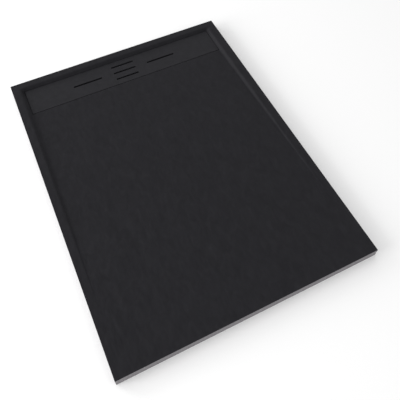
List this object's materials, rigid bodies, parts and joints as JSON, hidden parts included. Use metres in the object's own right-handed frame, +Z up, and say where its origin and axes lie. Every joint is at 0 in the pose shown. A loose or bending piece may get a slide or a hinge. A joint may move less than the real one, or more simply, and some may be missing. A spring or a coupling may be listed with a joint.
{
  "type": "shower tray",
  "caption": "Flat rectangular shower tray with a low rim on three sides, a slate-textured floor that falls to a slotted lift-off drain cover, and a waste trap below.",
  "frame": {"origin": "middle of the tray's underside, where it lies on the floor", "axes": "+X to the right, +Y to the back with the drain, +Z up"},
  "size_m": [0.9, 1.2, 0.138],
  "materials": {
    "slate_coat": "near-black gelcoat moulded with a slate texture",
    "cover_resin": "near-black cast resin, fine texture",
    "raw_resin": "raw mineral-filled resin, cut and sanded, grey",
    "rubber": "matt black rubber",
    "steel": "brushed stainless steel",
    "trap_plastic": "moulded pale grey polypropylene",
    "pipe_plastic": "extruded mid-grey polypropylene pipe",
    "nut_plastic": "moulded grey polypropylene"
  },
  "bodies": {
    "tray": {"tray_core": "raw_resin", "slate_skin": "slate_coat", "waste_flange": "steel", "flange_gasket": "rubber", "hair_strainer": "steel", "flange_screws": "steel", "trap_gasket": "rubber", "trap_bowl": "trap_plastic", "dip_tube": "trap_plastic", "dip_tube_seal": "rubber", "outlet_pipe": "pipe_plastic", "outlet_nut": "nut_plastic", "outlet_seal": "rubber"},
    "cover": {"drain_cover": "cover_resin", "cover_foot_1": "rubber", "cover_foot_2": "rubber", "cover_foot_3": "rubber", "cover_foot_4": "rubber", "cover_foot_5": "rubber", "cover_foot_6": "rubber", "cover_foot_7": "rubber", "cover_foot_8": "rubber"}
  },
  "joints": [
    {"name": "cover_lift", "type": "slide", "parent": "tray", "child": "cover", "axis": [0, 0, 1], "range_m": [0, 0.15]}
  ]
}
